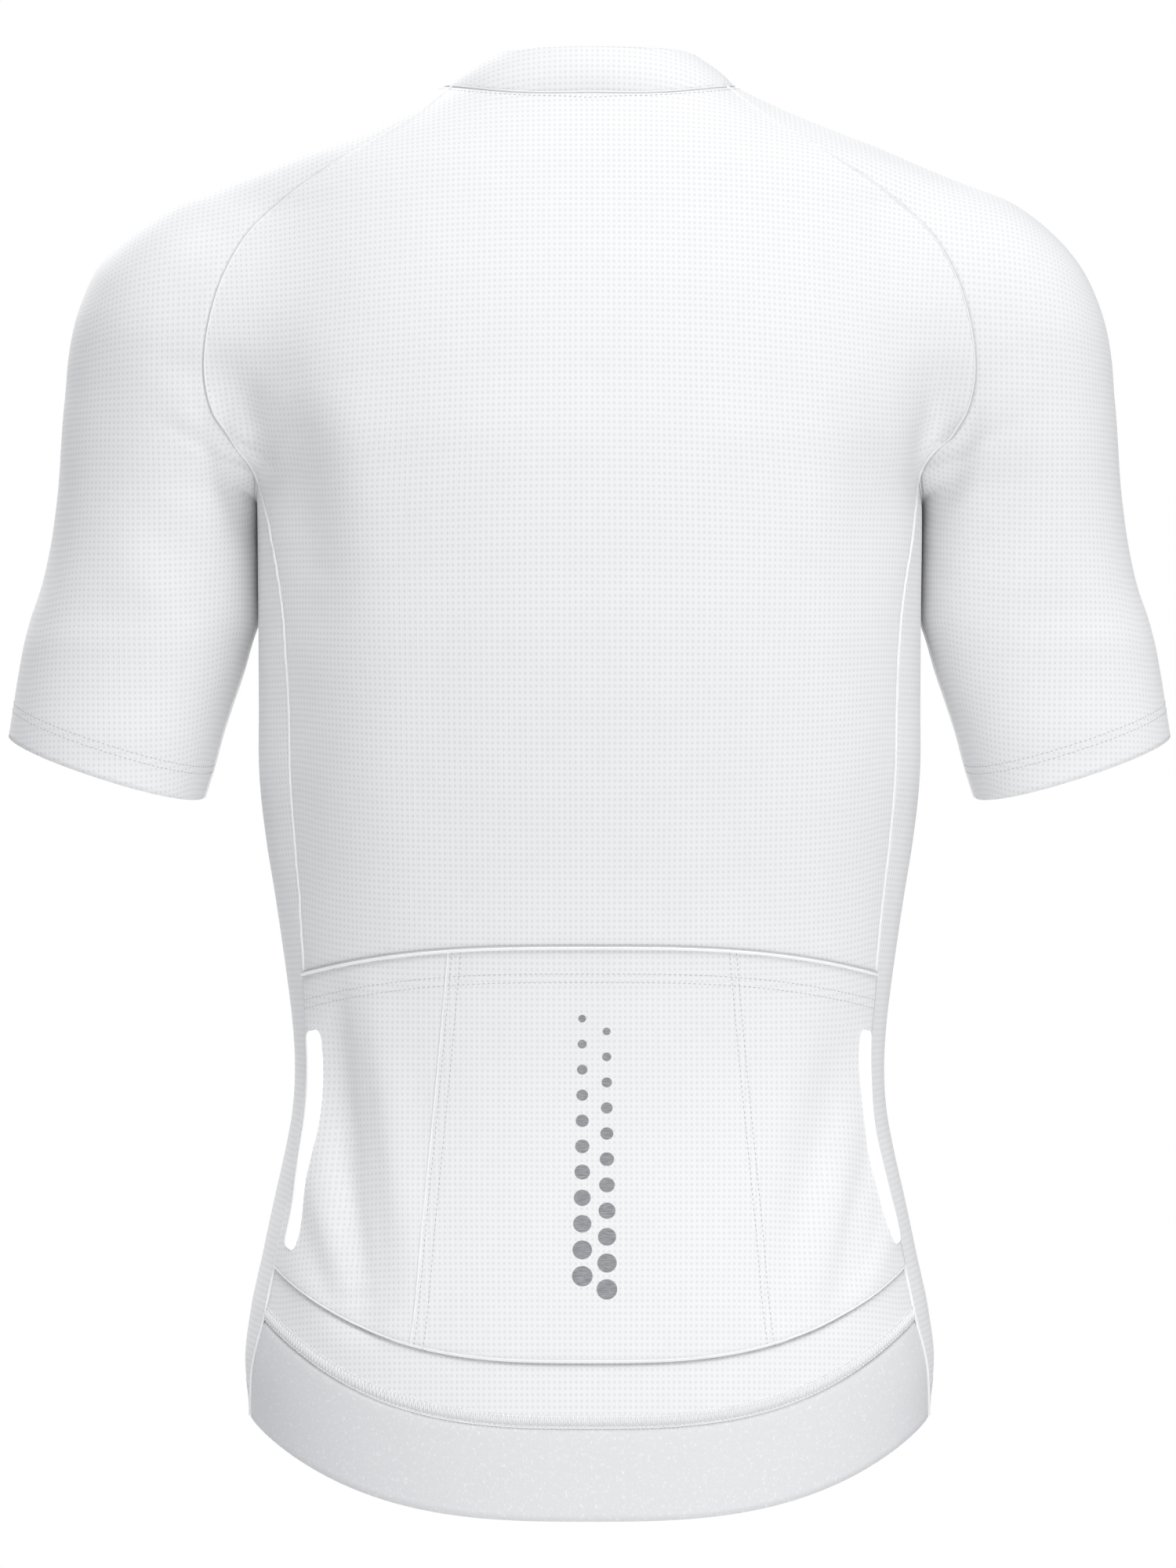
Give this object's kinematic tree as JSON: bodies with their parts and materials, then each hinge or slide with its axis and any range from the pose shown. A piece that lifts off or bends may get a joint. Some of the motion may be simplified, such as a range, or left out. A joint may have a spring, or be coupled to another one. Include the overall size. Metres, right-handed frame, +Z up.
{
  "type": "cycling jersey",
  "caption": "Short-sleeved race-fit cycling jersey filled out as worn: raglan sleeves, zipped stand collar, rear pocket panel and elastic hem gripper.",
  "frame": {"origin": "middle of the neck opening, level with the two side-neck seams", "axes": "+Z up along the wearer's spine, -Y the way the wearer faces, +X the wearer's left"},
  "size_m": [0.558, 0.2339, 0.688],
  "materials": {
    "jersey_cloth": "matt white polyester knit with a fine grid of pale grey dimples",
    "gripper_elastic": "close white elastic knit with fine bright specks",
    "zip_tape": "matt white woven tape",
    "zip_metal": "satin pale grey",
    "reflective_film": "bright white retroreflective film"
  },
  "bodies": {
    "garment": {"back_lower_band": "jersey_cloth", "back_panel": "jersey_cloth", "collar": "jersey_cloth", "front_left": "jersey_cloth", "front_right": "jersey_cloth", "hem_gripper": "gripper_elastic", "pocket_panel": "jersey_cloth", "reflective_tab_left": "reflective_film", "reflective_tab_right": "reflective_film", "side_panel_left": "jersey_cloth", "side_panel_right": "jersey_cloth", "sleeve_left": "jersey_cloth", "sleeve_right": "jersey_cloth", "zip_slider": "zip_metal", "zip_tape_left": "zip_tape", "zip_tape_right": "zip_tape"},
    "zip_pull": {"zip_pull": "zip_metal"}
  },
  "joints": [
    {"name": "pull_swing", "type": "hinge", "parent": "garment", "child": "zip_pull", "pos_m": [0, -0.05575, -0.02775], "axis": [-1, 0, 0], "range_deg": [0, 150]}
  ]
}
